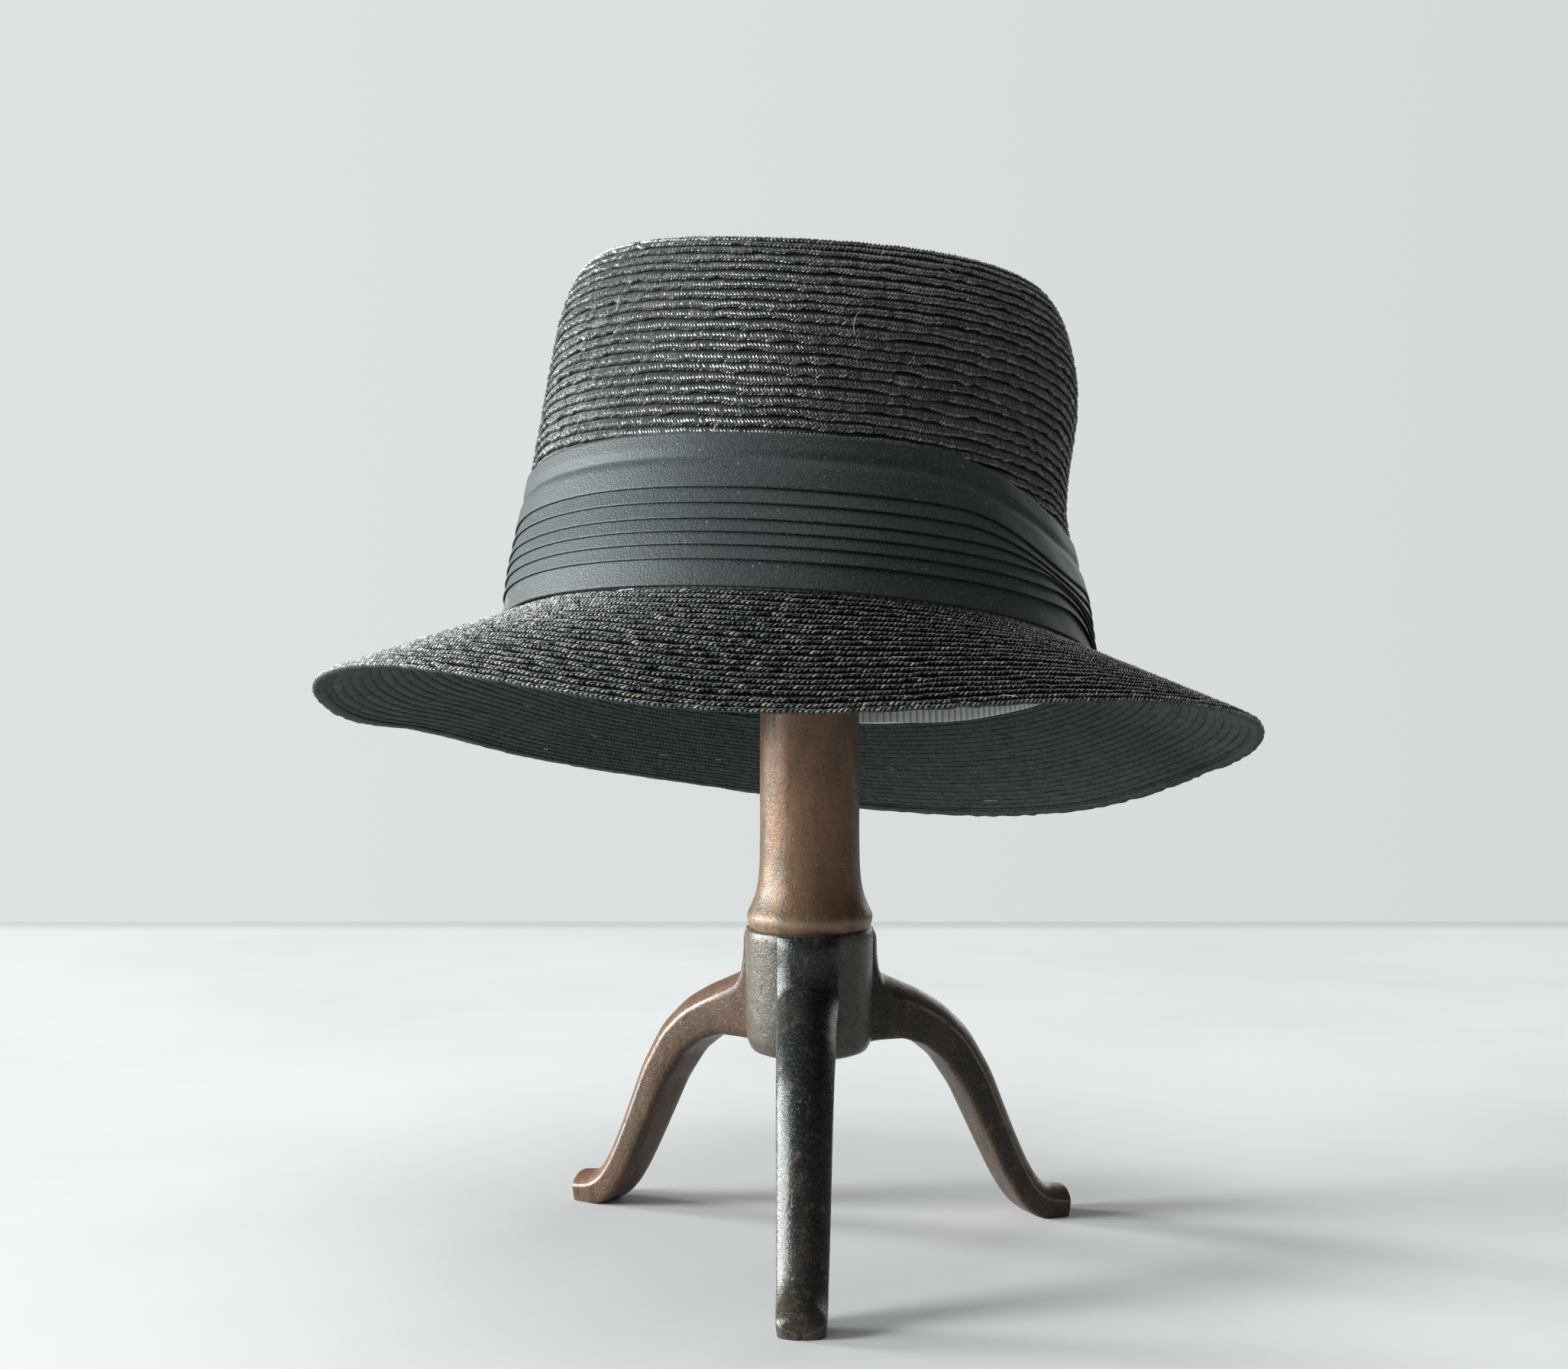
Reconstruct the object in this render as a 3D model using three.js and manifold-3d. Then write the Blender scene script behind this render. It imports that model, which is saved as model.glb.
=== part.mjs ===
// A black sewn-braid straw hat with a draped, pleated band and a ribbon sweatband,
// set on a cast-iron stand: a round post in a collared hub on three curved legs.
import * as THREE from "three";
import { mergeVertices } from "three/addons/utils/BufferGeometryUtils.js";
import Module from "manifold-3d";

const SEGMENTS = 60;
const GAP = 0.3;
const WELD = 1e-4;
const DEG = Math.PI / 180;

// How the hat sits: tipped back, leaning to its left side and turned a little on the post
const HAT_TILT = 12.65;
const HAT_LEAN = 3.9;
const HAT_TURN = -5.9;
const HAT_CENTRE = [-3.9, -4, 176.2];

// Head opening: an oval longer from front to back than across, with its ends dipped
const LENGTH_EXTRA = 17.4;
const FRONT_DROP = 3.8;
const BACK_DROP = 1.5;
const RIM_DROP = 12;
const RIM_LEAN = 1.2;
const RIM_HEIGHT = 108.4;
const STRAW = 2.2;

// Side of the crown, from the head opening up: half width and sideways lean of the oval
const WALL = [
  { height: 0, half: 85.6, lean: 0.7 },
  { height: 16, half: 83.9, lean: -0.2 },
  { height: 30, half: 81.2, lean: -1.2 },
  { height: 44, half: 79.0, lean: -2.0 },
  { height: 52, half: 78.7, lean: -1.9 },
  { height: 60, half: 78.5, lean: -1.3 },
  { height: 68, half: 78.6, lean: -0.5 },
  { height: 76, half: 78.6, lean: 0.2 },
  { height: 84, half: 78.2, lean: 0.5 },
  { height: 91, half: 77.2, lean: 0.3 },
  { height: 97, half: 75.8, lean: 0.2 },
];
const INNER_WALL_HEIGHTS = [0, 22, 44, 84, 97];

// Tip of the crown: a rolled rim and a sunk flat, from the side over the crest and in to the
// middle, and the same path on the underside, one thickness of straw in
const RIM_OUTSIDE = [
  { height: 102.4, half: 74.0 },
  { height: 106.4, half: 71.4 },
  { height: 108.4, half: 67.8 },
  { height: 107.8, half: 64.6 },
  { height: 104.6, half: 62.6 },
  { height: 98.4, half: 61.4 },
  { height: 95, half: 59.2 },
  { height: 94, half: 55.4 },
  { height: 94, half: 28.0 },
];
const RIM_UNDERSIDE = [
  { height: 101.4, half: 72.0 },
  { height: 104.6, half: 69.8 },
  { height: 106.1, half: 67.6 },
  { height: 105.3, half: 65.8 },
  { height: 97.8, half: 63.6 },
  { height: 93.4, half: 61.0 },
  { height: 91.8, half: 56.4 },
  { height: 91.8, half: 28.0 },
];
const TIP_HALF = 55.4;
const TIP_LEAN = 0.1;

// Brim: widest in front, sloping down all round, with a deep dip in front and slow waves
const BRIM_WIDTH = 55.6;
const BRIM_FRONT_EXTRA = 8.3;
const BRIM_END_EXTRA = 3.6;
const BRIM_RIGHT_EXTRA = 2.2;
const BRIM_SLOPE = 24.9;
const FRONT_DIP = 10.8;
const FRONT_DIP_NARROWNESS = 8;
const FRONT_DIP_AT = -92;
const BRIM_STEPS = 5;
const BRIM_WAVES = [
  { count: 2, angle: 2.4, at: 35 },
  { count: 3, angle: 2.7, at: 56 },
];
const BRIM_LIFTS = [
  { at: 157, angle: 4.5, spread: 17 },
  { at: 23, angle: 3.5, spread: 17 },
];

// Band lines from the bottom up: height in front, height where the folds are drawn together,
// and how far from there, in degrees, each line starts and stops turning down
const GATHER_AT = 4;
const BAND_LINES = [
  { height: GAP, gathered: GAP, from: 40, to: 20 },
  { height: 8.1, gathered: 2.6, from: 38, to: 20 },
  { height: 12.3, gathered: 9.0, from: 36, to: 14 },
  { height: 16.1, gathered: 13.6, from: 36, to: 10 },
  { height: 20.0, gathered: 16.0, from: 54, to: 22 },
  { height: 24.8, gathered: 18.3, from: 58, to: 28 },
  { height: 29.5, gathered: 20.6, from: 58, to: 28 },
  { height: 38.8, gathered: 27.8, from: 64, to: 18 },
  { height: 46.2, gathered: 33.6, from: 64, to: 16 },
];
const BAND_SIDE_DROP = 0.09;
const BAND_EDGE = 1.6;
const BAND_GROOVE = 0.9;
const BAND_FOLD = 2.0;
const BAND_INNER_HEIGHTS = [16, 30];

// Ribbon inside the head opening
const RIBBON_BOTTOM = -1.4;
const RIBBON_TOP = 22;
const RIBBON = 1;

// Stand: hub and post turned about the upright axis, radius at each height; the post's foot
// is a plain spigot let into the hub, and its skirt sits on the hub's top
const SPIGOT_RADIUS = 10;
const HUB_TOP = 95;
const HUB_PROFILE = [
  { radius: 14.6, height: 57.8 },
  { radius: 17.6, height: 59.2 },
  { radius: 19.0, height: 63.4 },
  { radius: 19.1, height: 93.6 },
  { radius: 18.4, height: HUB_TOP },
  { radius: SPIGOT_RADIUS + GAP, height: HUB_TOP },
  { radius: SPIGOT_RADIUS + GAP, height: 74.0 },
];
const POST_PROFILE = [
  { radius: 18.0, height: HUB_TOP + GAP },
  { radius: 18.3, height: 96.6 },
  { radius: 17.4, height: 99.4 },
  { radius: 16.2, height: 104.0 },
  { radius: 15.4, height: 110.0 },
  { radius: 15.1, height: 118.0 },
  { radius: 14.75, height: 158.0 },
  { radius: 14.1, height: 250.4 },
  { radius: 13.2, height: 256.8 },
  { radius: 10.6, height: 262.0 },
  { radius: 6.8, height: 265.6 },
  { radius: 3.2, height: 267.2 },
];
const POST_TOP = 267.7;
const ROUND_SIDES = 32;

// Leg, along its middle line from inside the hub to the toe
const LEGS = [
  { azimuth: -92, reach: 1.015 },
  { azimuth: 24, reach: 0.97 },
  { azimuth: 143, reach: 1.0 },
];
const LEG = [
  { out: 12, height: 70.5, width: 17.6, depth: 18.6 },
  { out: 22, height: 70.2, width: 17.6, depth: 18.0 },
  { out: 31, height: 68.4, width: 17.2, depth: 16.2 },
  { out: 40.6, height: 64.2, width: 16.8, depth: 14.4 },
  { out: 49, height: 57.2, width: 16.2, depth: 13.4 },
  { out: 56.8, height: 45.6, width: 15.6, depth: 12.4 },
  { out: 62, height: 34.6, width: 15.2, depth: 11.6 },
  { out: 66.8, height: 24.6, width: 14.8, depth: 11.0 },
  { out: 71.6, height: 15.4, width: 14.4, depth: 10.6 },
  { out: 76, height: 8.8, width: 14.0, depth: 10.6 },
  { out: 80.5, height: 5.0, width: 14.0, depth: 10.8 },
  { out: 85, height: 3.8, width: 13.8, depth: 11.0 },
  { out: 90, height: 3.2, width: 13.4, depth: 11.0 },
];
const LEG_SIDES = 14;
const LEG_SQUARENESS = 0.66;
const RIB = [
  { height: 66, width: 12, depth: 4.4 },
  { height: 70, width: 16, depth: 6.8 },
  { height: 90, width: 15.6, depth: 6.6 },
  { height: 94, width: 13, depth: 4.8 },
];
const RIB_OUT = 16.6;

const straw = new THREE.MeshStandardMaterial({ color: 0x1c1c1e, roughness: 0.55 });
const crepe = new THREE.MeshStandardMaterial({ color: 0x23282d, roughness: 0.85 });
const ribbon = new THREE.MeshStandardMaterial({ color: 0x9a9fa1, roughness: 0.8 });
const iron = new THREE.MeshStandardMaterial({ color: 0x4a3b31, roughness: 0.45, metalness: 0.7 });

// Closed solid through rings of equal count; an end given as one point closes the rings there,
// and without end points the last ring joins back to the first
function loft(rings, startPoint, endPoint) {
  const count = rings[0].length;
  const positions = rings.flat().flatMap((p) => [p.x, p.y, p.z]);
  const index = [];
  const joins = startPoint ? rings.length - 1 : rings.length;
  for (let i = 0; i < joins; i += 1) {
    const a = i * count;
    const b = ((i + 1) % rings.length) * count;
    for (let j = 0; j < count; j += 1) {
      const k = (j + 1) % count;
      index.push(a + j, a + k, b + k, a + j, b + k, b + j);
    }
  }
  if (startPoint) {
    const first = positions.length / 3;
    const last = (rings.length - 1) * count;
    positions.push(startPoint.x, startPoint.y, startPoint.z, endPoint.x, endPoint.y, endPoint.z);
    for (let j = 0; j < count; j += 1) {
      const k = (j + 1) % count;
      index.push(first, k, j, first + 1, last + j, last + k);
    }
  }
  const geometry = new THREE.BufferGeometry();
  geometry.setAttribute("position", new THREE.Float32BufferAttribute(positions, 3));
  geometry.setIndex(index);
  geometry.computeVertexNormals();
  return geometry;
}

function angles(count) {
  return Array.from({ length: count }, (_, i) => (2 * Math.PI * i) / count);
}

function wallAt(height) {
  const above = WALL.findIndex((row) => row.height >= height);
  if (above <= 0) return WALL[0];
  const low = WALL[above - 1];
  const high = WALL[above];
  const t = (height - low.height) / (high.height - low.height);
  return { half: low.half + (high.half - low.half) * t, lean: low.lean + (high.lean - low.lean) * t };
}

// A point of an oval at one angle from the wearer's left, the oval's front and back dropped
function ovalPoint(angle, half, lean, height) {
  const spread = Math.min(1, half / TIP_HALF);
  const rise = Math.max(0, height) / RIM_HEIGHT;
  const opening = BACK_DROP + ((FRONT_DROP - BACK_DROP) * (1 - Math.sin(angle))) / 2;
  const drop = (opening + (RIM_DROP - opening) * rise) * spread ** 2 * Math.sin(angle) ** 2;
  const slant = RIM_LEAN * rise * spread * Math.cos(angle);
  const x = lean + half * Math.cos(angle);
  const y = (half + LENGTH_EXTRA * spread) * Math.sin(angle);
  return new THREE.Vector3(x, y, height - drop - slant);
}

function oval(half, lean, height) {
  return angles(SEGMENTS).map((angle) => ovalPoint(angle, half, lean, height));
}

function crownSideGeometry() {
  const inner = INNER_WALL_HEIGHTS.map((height) => {
    const wall = wallAt(height);
    return oval(wall.half - STRAW, wall.lean, height);
  }).reverse();
  const outer = WALL.map((row) => oval(row.half, row.lean, row.height));
  return loft([...inner, ...outer]);
}

// The tip's rim sits on the top edge of the side
function crownTipGeometry() {
  const middle = (height) => new THREE.Vector3(TIP_LEAN, 0, height);
  const tipRing = (row) => oval(row.half, TIP_LEAN, row.height);
  const side = WALL.at(-1);
  const seat = [side.half - STRAW, side.half].map((half) => oval(half, side.lean, side.height + GAP));
  const under = RIM_UNDERSIDE.map(tipRing).reverse();
  const rim = RIM_OUTSIDE.map(tipRing);
  const rings = [...under, ...seat, ...rim];
  return loft(rings, middle(RIM_UNDERSIDE.at(-1).height), middle(RIM_OUTSIDE.at(-1).height));
}

// Angle in degrees from one direction round to another, between -180 and 180
function turnFrom(at, angle) {
  const turn = angle - at * DEG;
  return Math.atan2(Math.sin(turn), Math.cos(turn)) / DEG;
}

function brimSlope(angle) {
  const facing = Math.max(0, Math.cos(angle - FRONT_DIP_AT * DEG));
  const total = (values) => values.reduce((a, b) => a + b, 0);
  const waves = BRIM_WAVES.map((w) => w.angle * Math.cos(w.count * (angle - w.at * DEG)));
  const lifts = BRIM_LIFTS.map((l) => l.angle * Math.exp(-((turnFrom(l.at, angle) / l.spread) ** 2)));
  const dip = FRONT_DIP * facing ** FRONT_DIP_NARROWNESS;
  return (BRIM_SLOPE + dip + total(waves) - total(lifts)) * DEG;
}

// Ring of the brim a part of the way out along its slope, set down by a depth square to it
function brimRing(part, depth) {
  const base = WALL[0];
  return angles(SEGMENTS).map((angle) => {
    const start = ovalPoint(angle, base.half, base.lean, 0);
    const length = base.half + LENGTH_EXTRA;
    const out = new THREE.Vector3(Math.cos(angle) * length, Math.sin(angle) * base.half, 0);
    const slope = brimSlope(angle);
    const ends = -BRIM_END_EXTRA * Math.cos(2 * angle) - BRIM_FRONT_EXTRA * Math.sin(angle);
    const side = (BRIM_RIGHT_EXTRA * (1 - Math.cos(angle))) / 2;
    const along = (BRIM_WIDTH + ends + side) * part;
    const flat = along * Math.cos(slope) - depth * Math.sin(slope);
    start.addScaledVector(out.normalize(), flat);
    start.z -= GAP + along * Math.sin(slope) + depth * Math.cos(slope);
    return start;
  });
}

function brimGeometry() {
  const base = WALL[0];
  const lip = (drop) => oval(base.half - STRAW, base.lean, 0).map((p) => p.setZ(p.z - GAP - drop));
  const parts = Array.from({ length: BRIM_STEPS + 1 }, (_, i) => i / BRIM_STEPS);
  const top = parts.map((part) => brimRing(part, 0)).reverse();
  const bottom = parts.map((part) => brimRing(part, STRAW));
  return loft([...top, lip(0), lip(STRAW), ...bottom]);
}

// Height of one band line at an angle: level, lower on the far side, drawn down at the gather
function bandHeight(line, angle) {
  const turn = Math.abs(turnFrom(GATHER_AT, angle));
  const drawn = 1 - THREE.MathUtils.smoothstep(turn, line.to, line.from);
  const side = Math.max(0, -Math.cos(angle)) ** 2;
  const level = line.height * (1 - BAND_SIDE_DROP * side);
  return level + (line.gathered - level) * drawn;
}

function bandRing(heightAt, offset) {
  return angles(SEGMENTS).map((angle) => {
    const height = heightAt(angle);
    const wall = wallAt(height);
    return ovalPoint(angle, wall.half + offset, wall.lean, height);
  });
}

function bandGeometry() {
  const outer = [];
  BAND_LINES.forEach((line, i) => {
    const edge = i === 0 || i === BAND_LINES.length - 1;
    outer.push(bandRing((angle) => bandHeight(line, angle), edge ? BAND_EDGE : BAND_GROOVE + GAP));
    if (i < BAND_LINES.length - 1) {
      const next = BAND_LINES[i + 1];
      const between = (angle) => (bandHeight(line, angle) + bandHeight(next, angle)) / 2;
      outer.push(bandRing(between, BAND_FOLD + GAP));
    }
  });
  const inner = [
    bandRing((angle) => bandHeight(BAND_LINES.at(-1), angle), GAP),
    ...BAND_INNER_HEIGHTS.map((height) => bandRing(() => height, GAP)).reverse(),
    bandRing(() => GAP, GAP),
  ];
  return loft([...outer, ...inner]);
}

function ribbonGeometry() {
  const ring = (height, offset) => {
    const wall = wallAt(Math.max(0, height));
    return oval(wall.half - STRAW - GAP - offset, wall.lean, height);
  };
  const heights = [RIBBON_BOTTOM, 0, RIBBON_TOP];
  const outside = heights.map((height) => ring(height, 0));
  const inside = heights.map((height) => ring(height, RIBBON)).reverse();
  return loft([...outside, ...inside]);
}

// Solid turned about the upright axis through rows of radius and height
function turned(rows, bottom, top) {
  const rings = rows.map((row) => angles(ROUND_SIDES).map(
    (angle) => new THREE.Vector3(row.radius * Math.cos(angle), row.radius * Math.sin(angle), row.height)));
  return loft(rings, new THREE.Vector3(0, 0, bottom), new THREE.Vector3(0, 0, top));
}

function postGeometry() {
  const foot = HUB_PROFILE.at(-1).height + GAP;
  const spigot = [
    { radius: SPIGOT_RADIUS, height: foot },
    { radius: SPIGOT_RADIUS, height: POST_PROFILE[0].height },
  ];
  return turned([...spigot, ...POST_PROFILE], foot, POST_TOP);
}

// Rounded bar section: an oval squared off towards its box
function barSection(width, depth) {
  const square = (v) => Math.sign(v) * Math.abs(v) ** LEG_SQUARENESS;
  return angles(LEG_SIDES).map((angle) => ({
    side: (square(Math.cos(angle)) * width) / 2,
    up: (square(Math.sin(angle)) * depth) / 2,
  }));
}

// Leg in its own upright plane along +X, its toe pressed flat on the floor
function legGeometry(reach) {
  const rings = LEG.map((row, i) => {
    const before = LEG[Math.max(0, i - 1)];
    const after = LEG[Math.min(LEG.length - 1, i + 1)];
    const along = new THREE.Vector2(after.out - before.out, after.height - before.height).normalize();
    return barSection(row.width, row.depth).map((p) => {
      const out = row.out - along.y * p.up;
      const height = row.height + along.x * p.up;
      return new THREE.Vector3(out * reach, p.side, Math.max(0, height));
    });
  });
  const first = LEG[0];
  const toe = LEG.at(-1);
  const start = new THREE.Vector3(first.out * reach, 0, first.height);
  return loft(rings, start, new THREE.Vector3(toe.out * reach, 0, toe.height));
}

// Upright rib on the hub above each leg
function ribGeometry() {
  const rings = RIB.map((row) => barSection(row.width, row.depth).map(
    (p) => new THREE.Vector3(RIB_OUT + p.up, p.side, row.height)));
  const end = (row) => new THREE.Vector3(RIB_OUT, 0, row.height);
  return loft(rings.map((ring) => ring.reverse()), end(RIB[0]), end(RIB.at(-1)));
}

const wasm = await Module();
wasm.setup();

function toSolid(geometry) {
  const bare = geometry.clone();
  bare.deleteAttribute("normal");
  const merged = mergeVertices(bare, WELD);
  return new wasm.Manifold(new wasm.Mesh({
    numProp: 3,
    vertProperties: new Float32Array(merged.attributes.position.array),
    triVerts: new Uint32Array(merged.index.array),
  }));
}

function toGeometry(solid) {
  const mesh = solid.getMesh();
  const geometry = new THREE.BufferGeometry();
  geometry.setAttribute("position", new THREE.Float32BufferAttribute(mesh.vertProperties, 3));
  geometry.setIndex(new THREE.Uint32BufferAttribute(mesh.triVerts, 1));
  geometry.computeVertexNormals();
  return geometry;
}

function baseGeometry() {
  let solid = toSolid(turned(HUB_PROFILE, HUB_PROFILE[0].height, HUB_PROFILE.at(-1).height));
  for (const { azimuth, reach } of LEGS) {
    solid = solid.add(toSolid(legGeometry(reach).rotateZ(azimuth * DEG)));
    solid = solid.add(toSolid(ribGeometry().rotateZ(azimuth * DEG)));
  }
  return toGeometry(solid);
}

function named(name, geometry, material) {
  const mesh = new THREE.Mesh(geometry, material);
  mesh.name = name;
  return mesh;
}

const hat = new THREE.Group();
hat.add(named("crown_side", crownSideGeometry(), straw));
hat.add(named("crown_tip", crownTipGeometry(), straw));
hat.add(named("brim", brimGeometry(), straw));
hat.add(named("hatband", bandGeometry(), crepe));
hat.add(named("sweatband", ribbonGeometry(), ribbon));
hat.rotation.set(-HAT_TILT * DEG, HAT_LEAN * DEG, HAT_TURN * DEG, "YXZ");
hat.position.set(...HAT_CENTRE);

const stand = new THREE.Group();
stand.add(named("stand_base", baseGeometry(), iron));
stand.add(named("stand_post", postGeometry(), iron));

// The whole stands on the floor with the middle of its outline over the origin
const standing = new THREE.Group();
standing.add(hat, stand);
standing.updateMatrixWorld(true);
const box = new THREE.Box3().setFromObject(standing, true);
standing.position.set(-(box.min.x + box.max.x) / 2, -(box.min.y + box.max.y) / 2, -box.min.z);

const root = new THREE.Group();
root.add(standing);
export default root;
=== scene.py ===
import bpy
import numpy as np
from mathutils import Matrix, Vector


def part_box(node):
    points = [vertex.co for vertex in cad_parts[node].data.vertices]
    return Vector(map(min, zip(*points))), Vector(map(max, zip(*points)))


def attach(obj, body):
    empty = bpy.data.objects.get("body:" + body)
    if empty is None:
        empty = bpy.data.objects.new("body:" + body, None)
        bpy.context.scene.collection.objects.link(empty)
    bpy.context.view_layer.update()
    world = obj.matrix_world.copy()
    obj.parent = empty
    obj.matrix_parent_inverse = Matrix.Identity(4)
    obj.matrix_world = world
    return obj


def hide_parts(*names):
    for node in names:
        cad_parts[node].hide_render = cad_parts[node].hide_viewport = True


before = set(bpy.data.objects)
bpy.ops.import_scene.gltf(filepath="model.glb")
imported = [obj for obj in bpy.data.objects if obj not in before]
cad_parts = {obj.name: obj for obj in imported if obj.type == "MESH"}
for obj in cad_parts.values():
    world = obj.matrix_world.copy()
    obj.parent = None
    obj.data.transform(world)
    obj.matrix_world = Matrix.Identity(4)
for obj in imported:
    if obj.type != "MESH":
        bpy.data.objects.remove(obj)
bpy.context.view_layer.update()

# Base of the stand: one iron casting, a drum with an upright rib over each of three bowed legs.
# The legs swell where they leave the drum and carry a ridge down each side. Their toes have flat soles, blunt and
# rounded in front and cut square behind.
MM = 0.001
post_low, post_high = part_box("stand_post")
STAND_AXIS = np.array([(post_low.x + post_high.x) / 2, (post_low.y + post_high.y) / 2, 0.0])
DRUM = [(14.4, 57.8), (17.2, 58.8), (18.7, 62.0), (19.0, 68.0), (19.0, 93.2), (18.6, 95.2), (17.0, 95.8)]
DRUM_POINTS, DRUM_GIRTH = 160, 120
LEGS = {
    "front": (-92, 1.015, 5.5, 9.0, 1.0, 1.0),
    "left": (24, 0.97, 0.9, 0.8, 0.36, 0.70),
    "right": (143, 1.0, 0.9, 0.8, 0.26, 0.52),
}
RIB = [
    (19.8, 94.8, 9.0, 94.8, 18.4, 3.2), (21.3, 92.6, 9.0, 90.0, 18.4, 4.1), (21.5, 87.0, 9.0, 81.0, 18.3, 4.3),
    (21.6, 83.6, 10.0, 68.0, 18.2, 4.4), (22.4, 81.0, 15.0, 60.2, 18.1, 4.6), (25.8, 79.3, 20.4, 60.6, 17.9, 4.9),
]
LEG = [
    (12, 70.5, 17.6, 18.6), (22, 70.2, 17.6, 18.0), (31, 68.4, 17.2, 16.2), (40.6, 64.2, 16.8, 14.4),
    (49, 57.2, 16.2, 13.4), (56.8, 45.6, 15.6, 12.4), (62, 34.6, 15.2, 11.6), (66.8, 24.6, 14.8, 11.0),
    (71.6, 15.4, 14.4, 10.6), (76, 8.8, 14.0, 10.6), (80.5, 5.0, 14.0, 10.8), (85, 3.8, 13.8, 11.0),
    (90, 3.2, 13.4, 11.0),
]
FLANK = np.array([(-1.0, 0.9), (-0.985, 0.55), (-0.96, 0.25), (-0.90, 0.08), (-0.76, 0.015), (-0.45, 0.0)])
ARCH, ARCH_SHARE, ARCH_POINTS = np.radians(62), 0.29, 27
RIB_END, FINE_RUN, FINE_STEP, LEG_STEP = 33, 34, 0.5, 1.0
TOE_POINTS, TOE_NARROWED, BROW_CUT = 24, 0.99, 0.6
OLIVE_DRIP, SOOT_BLACK, RUST_FLECK = (0.088, 0.078, 0.050, 1), (0.012, 0.017, 0.016, 1), (0.14, 0.10, 0.075, 1)
PALE_SPECK, DARK_SPECK, RUBBED = (0.17, 0.115, 0.075, 1), (0.016, 0.015, 0.012, 1), (0.42, 0.34, 0.26, 1)


def eased(rows, step, window):
    """Curve through the rows of a table: straight runs between the rows are walked at even steps, and every
    column is then averaged over a short window, so that the corners round."""
    rows = np.asarray(rows, float)
    length = np.append(0, np.cumsum(np.linalg.norm(np.diff(rows[:, :2], axis=0), axis=1)))
    walk = np.linspace(0, length[-1], round(length[-1] / step) + 1)
    even = np.stack([np.interp(walk, length, column) for column in rows.T], -1)
    reach = max(1, round(window / step / 2))
    padded = np.pad(even, ((reach, reach), (0, 0)), mode="reflect", reflect_type="odd")
    weights = np.hanning(2 * reach + 3)[1:-1]
    return np.stack([np.convolve(column, weights / weights.sum(), "valid") for column in padded.T], -1)


def smooth(value, low, high):
    """0 below low, 1 above high, and a smooth step between them."""
    share = np.clip((value - low) / (high - low), 0, 1)
    return share * share * (3 - 2 * share)


def skin(name, points, along, around, joined=False, crisp=False, **marks):
    """Mesh over a grid of points in metres. Each row of the grid is a ring that closes on itself, and each ring is
    joined to the next. The first and last ring are closed flat, or joined to each other. along and around are the
    UV numbers of the rows and of a ring's points, and marks are attributes with a number for each point. A crisp
    mesh has sharp edges round each ring and is smooth only from ring point to ring point."""
    rows, ring = points.shape[:2]
    row, col = np.meshgrid(np.arange(rows if joined else rows - 1), np.arange(ring), indexing="ij")
    row = np.stack([row, row, row + 1, row + 1], -1).reshape(-1, 4)
    col = np.stack([col, col + 1, col + 1, col], -1).reshape(-1, 4)
    if not joined:
        inset = np.arange(ring // 2 - 1)
        cap = np.stack([inset + 1, inset, ring - 1 - inset, ring - 2 - inset], -1)
        row = np.vstack([row, np.zeros_like(cap), np.full_like(cap, rows - 1)])
        col = np.vstack([col, cap, cap[:, ::-1]])
    corner = row % rows * ring + col % ring
    flat = points.reshape(-1, 3)
    a, b, c, d = (flat[corner[:, n]] - flat.mean(0) for n in range(4))
    if (a * (np.cross(b, c) + np.cross(c, d))).sum() < 0:
        corner, row, col = corner[:, ::-1], row[:, ::-1], col[:, ::-1]
    mesh = bpy.data.meshes.new(name)
    mesh.vertices.add(len(flat))
    mesh.vertices.foreach_set("co", flat.astype(np.float32).ravel())
    mesh.loops.add(corner.size)
    mesh.loops.foreach_set("vertex_index", corner.astype(np.int32).ravel())
    mesh.polygons.add(len(corner))
    mesh.polygons.foreach_set("loop_start", np.arange(0, corner.size, 4, dtype=np.int32))
    mesh.polygons.foreach_set("use_smooth", np.ones(len(corner), bool))
    layer = mesh.uv_layers.new(name="lay")
    layer.data.foreach_set("uv", np.stack([along[row], around[col]], -1).astype(np.float32).ravel())
    for mark, values in marks.items():
        attribute = mesh.attributes.new(mark, "FLOAT", "POINT")
        attribute.data.foreach_set("value", np.broadcast_to(values, (rows, ring)).astype(np.float32).ravel())
    mesh.update(calc_edges=True)
    if crisp:
        ends = np.empty(len(mesh.edges) * 2, np.int32)
        mesh.edges.foreach_get("vertices", ends)
        ends = ends.reshape(-1, 2) // ring
        mesh.attributes.new("sharp_edge", "BOOLEAN", "EDGE").data.foreach_set("value", ends[:, 0] == ends[:, 1])
    piece = bpy.data.objects.new(name, mesh)
    bpy.context.scene.collection.objects.link(piece)
    return piece


def put(tree, kind, sockets=(), **settings):
    """Adds one shader node. sockets gives each named input a plain value, or a link from another node's socket."""
    made = tree.nodes.new(kind)
    for key, value in settings.items():
        setattr(made, key, value)
    for key, value in dict(sockets).items():
        if isinstance(value, bpy.types.NodeSocket):
            tree.links.new(value, made.inputs[key])
        else:
            made.inputs[key].default_value = value
    return made


def work(tree, operation, *values):
    """One step of arithmetic on numbers or sockets."""
    return put(tree, "ShaderNodeMath", enumerate(values), operation=operation).outputs[0]


def fade(tree, value, low, high):
    """0 at low, 1 at high and a smooth step between; low may be the greater."""
    sockets = {"Value": value, "From Min": low, "From Max": high}
    return put(tree, "ShaderNodeMapRange", sockets, interpolation_type="SMOOTHSTEP").outputs[0]


def tint(tree, share, first, second):
    """Colour between two colours, each plain or from a socket."""
    return put(tree, "ShaderNodeMix", {0: share, 6: first, 7: second}, data_type="RGBA").outputs[2]


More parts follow.
